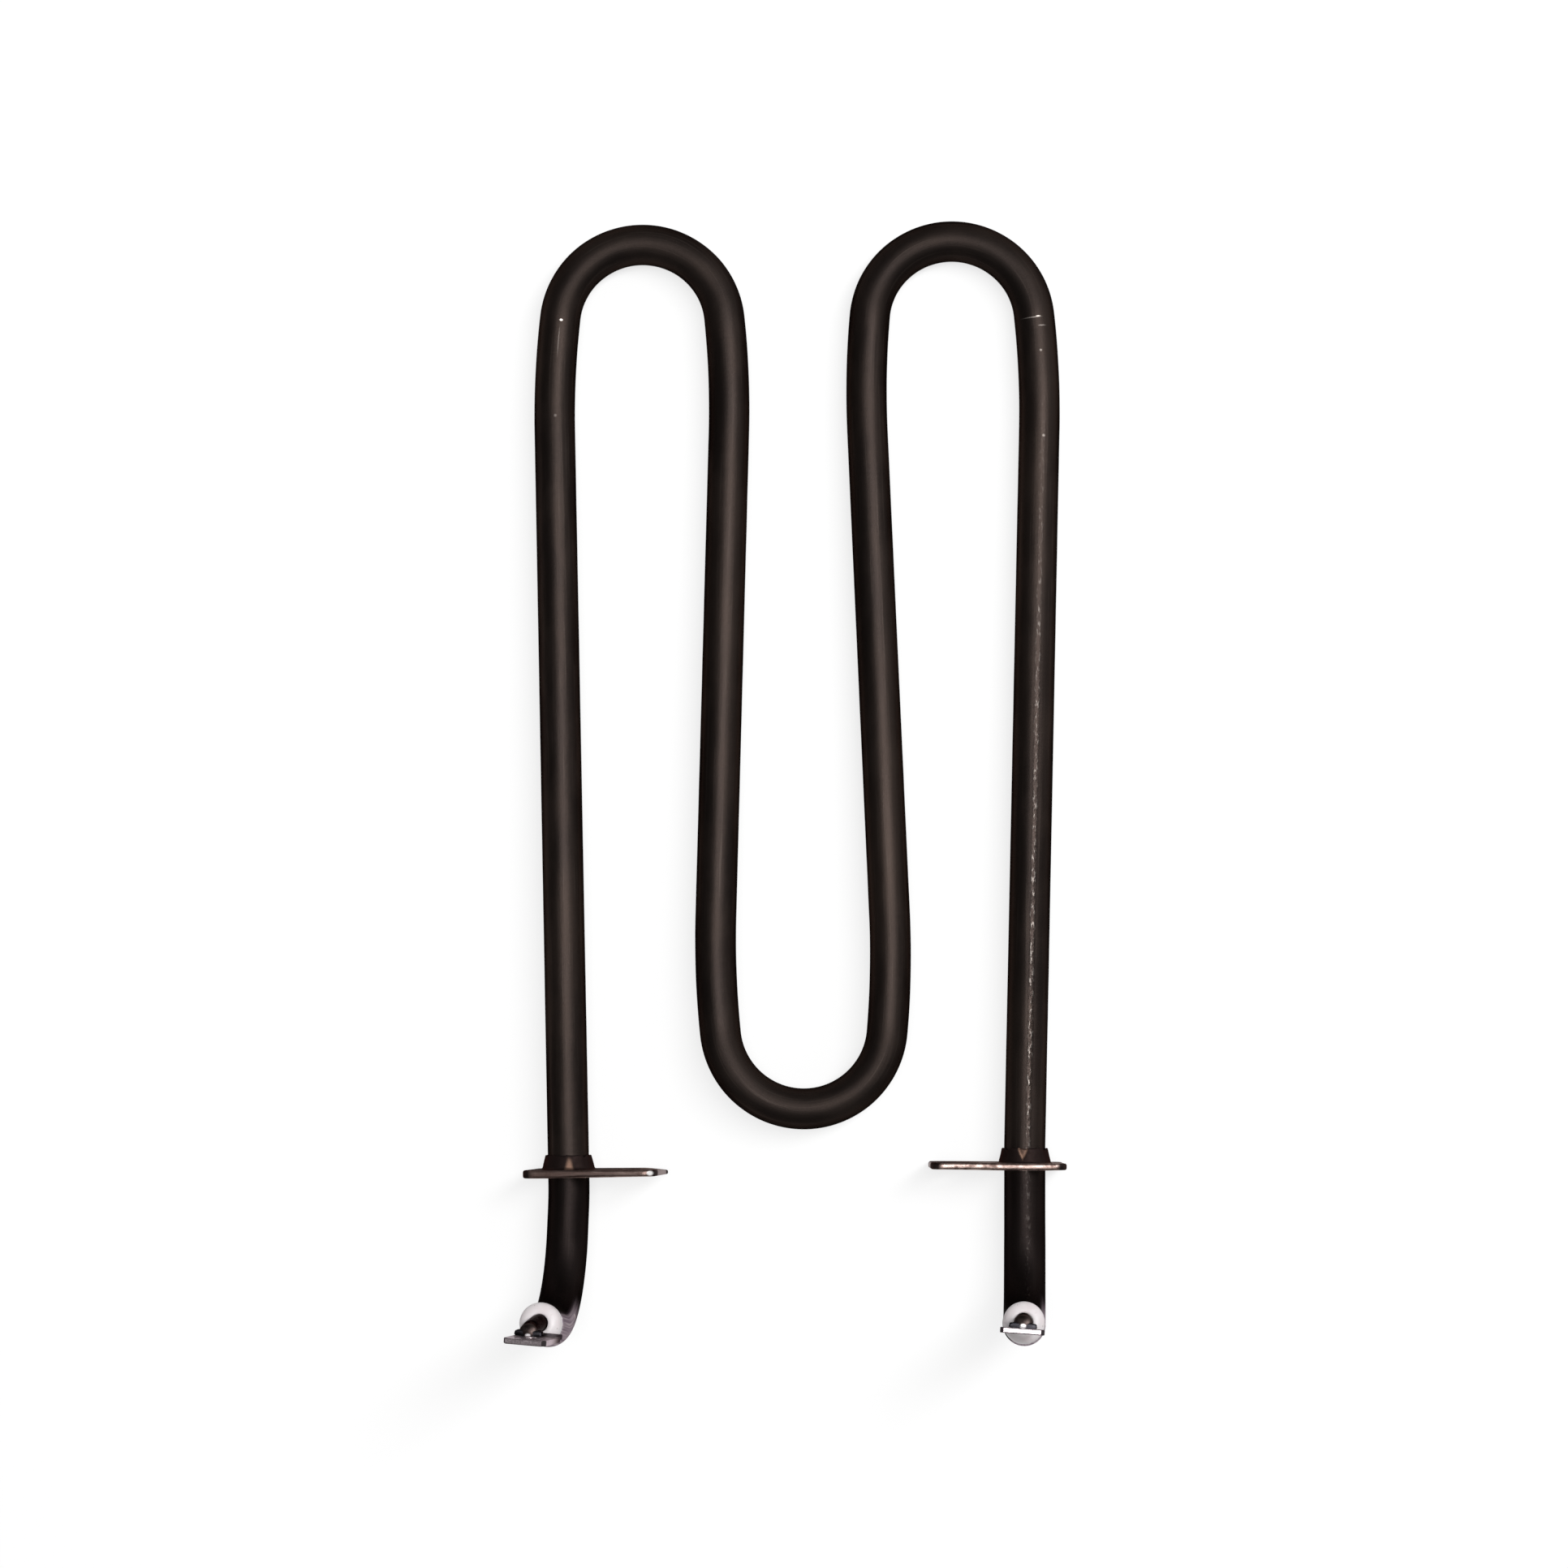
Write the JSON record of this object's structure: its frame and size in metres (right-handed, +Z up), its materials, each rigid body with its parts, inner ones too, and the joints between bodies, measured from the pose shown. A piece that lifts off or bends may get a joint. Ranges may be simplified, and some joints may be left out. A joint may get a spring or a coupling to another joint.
{
  "type": "tubular heating element",
  "caption": "M-shaped tubular heating element with side fixing flanges and upturned spade terminals, for heating air, a plate or a grill.",
  "frame": {"origin": "middle of the element's box, on the surface that it lies on", "axes": "+Y along the legs, from the terminals to the two far bends; +Z up from the surface, the way the terminals point; +X from the left leg to the right leg"},
  "size_m": [0.082, 0.1714, 0.0438],
  "materials": {
    "sheath": "matt, black-brown heat oxide",
    "magnesia": "compacted powder",
    "coil": "drawn resistance wire",
    "pin": "drawn steel, heat-darkened",
    "seal": "cured silicone",
    "bush": "unglazed steatite, satin",
    "tab": "nickel-plated, satin",
    "flange": "pierced sheet steel with a copper-brown tarnish"
  },
  "bodies": {
    "root": {"sheath": "sheath", "magnesia_filling": "magnesia", "resistance_coil": "coil", "left_terminal_pin": "pin", "left_end_seal": "seal", "left_ceramic_bush": "bush", "left_spade_tab": "tab", "left_flange": "flange", "right_terminal_pin": "pin", "right_end_seal": "seal", "right_ceramic_bush": "bush", "right_spade_tab": "tab", "right_flange": "flange"}
  },
  "joints": []
}
